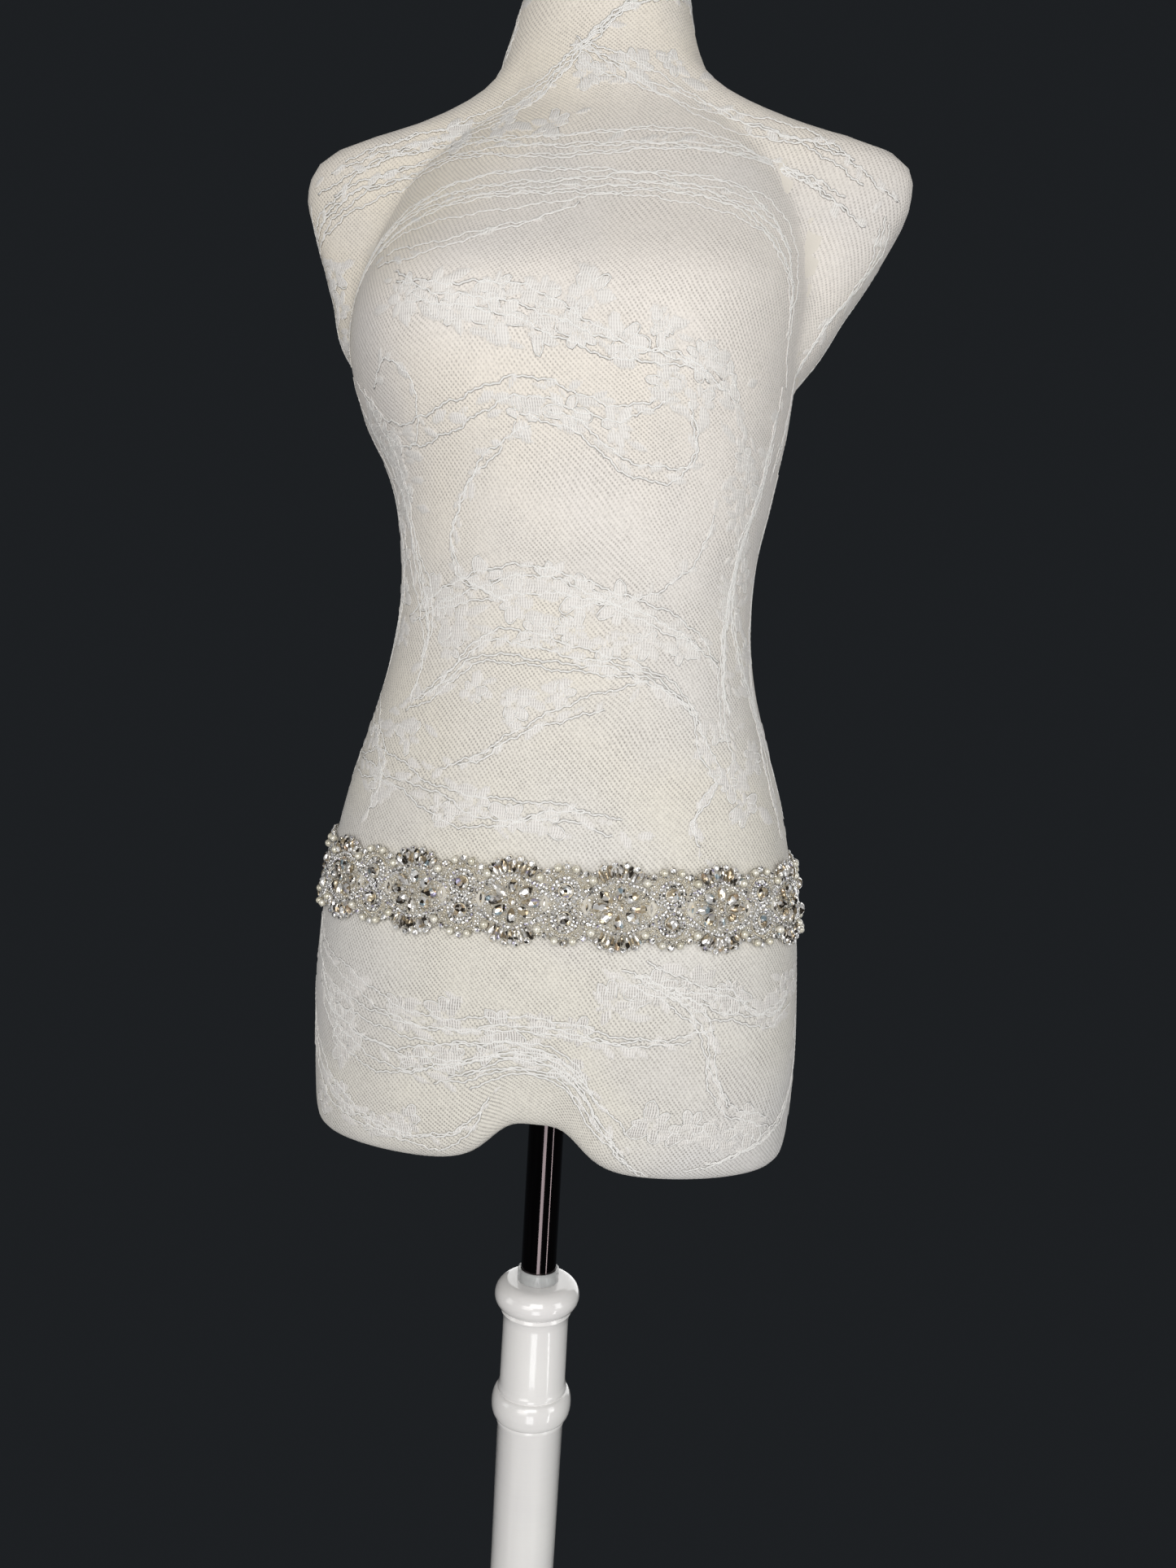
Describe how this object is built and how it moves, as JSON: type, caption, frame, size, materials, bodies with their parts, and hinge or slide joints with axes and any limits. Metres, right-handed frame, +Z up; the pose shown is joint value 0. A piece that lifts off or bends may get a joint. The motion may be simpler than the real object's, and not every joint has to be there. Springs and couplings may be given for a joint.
{
  "type": "bridal sash on a dress form",
  "caption": "Beaded bridal sash of crystal flower medallions and pearls, tied round the hips of a limbless dress form on a turned pole stand.",
  "frame": {"origin": "centre of the base's underside, on the floor", "axes": "+Z up along the pole; the form's front faces -Y and its left hip is at +X"},
  "size_m": [0.3896, 0.34, 1.6],
  "materials": {
    "lace_cover": "cream stretch lace over a padded form, matt",
    "satin_backing": "off-white satin on stiff net",
    "crystal_trim": "foil-backed clear crystals, rhinestones and ivory pearls",
    "satin_ribbon": "off-white double-faced satin",
    "black_chrome": "dark polished chrome",
    "clear_plastic": "clear moulded plastic",
    "white_wood": "white gloss paint on turned wood"
  },
  "bodies": {
    "stand": {"base": "white_wood", "pole": "white_wood", "clear_collar": "clear_plastic"},
    "rod": {"rod": "black_chrome"},
    "figure": {"dress_form": "lace_cover", "backing": "satin_backing", "medallion_01": "crystal_trim", "medallion_02": "crystal_trim", "medallion_03": "crystal_trim", "medallion_04": "crystal_trim", "medallion_05": "crystal_trim", "medallion_06": "crystal_trim", "medallion_07": "crystal_trim", "medallion_08": "crystal_trim", "medallion_09": "crystal_trim", "medallion_10": "crystal_trim", "medallion_11": "crystal_trim", "medallion_12": "crystal_trim", "medallion_13": "crystal_trim", "link_01": "crystal_trim", "link_02": "crystal_trim", "link_03": "crystal_trim", "link_04": "crystal_trim", "link_05": "crystal_trim", "link_06": "crystal_trim", "link_07": "crystal_trim", "link_08": "crystal_trim", "link_09": "crystal_trim", "link_10": "crystal_trim", "link_11": "crystal_trim", "link_12": "crystal_trim", "ribbon_left": "satin_ribbon", "ribbon_right": "satin_ribbon", "knot": "satin_ribbon", "tail_left": "satin_ribbon", "tail_right": "satin_ribbon"}
  },
  "joints": [
    {"name": "height", "type": "slide", "parent": "stand", "child": "rod", "axis": [0, 0, 1], "range_m": [-0.055, 0.15]},
    {"name": "turn", "type": "hinge", "parent": "rod", "child": "figure", "pos_m": [0, 0, 0.9], "axis": [0, 0, 1], "continuous": true}
  ]
}
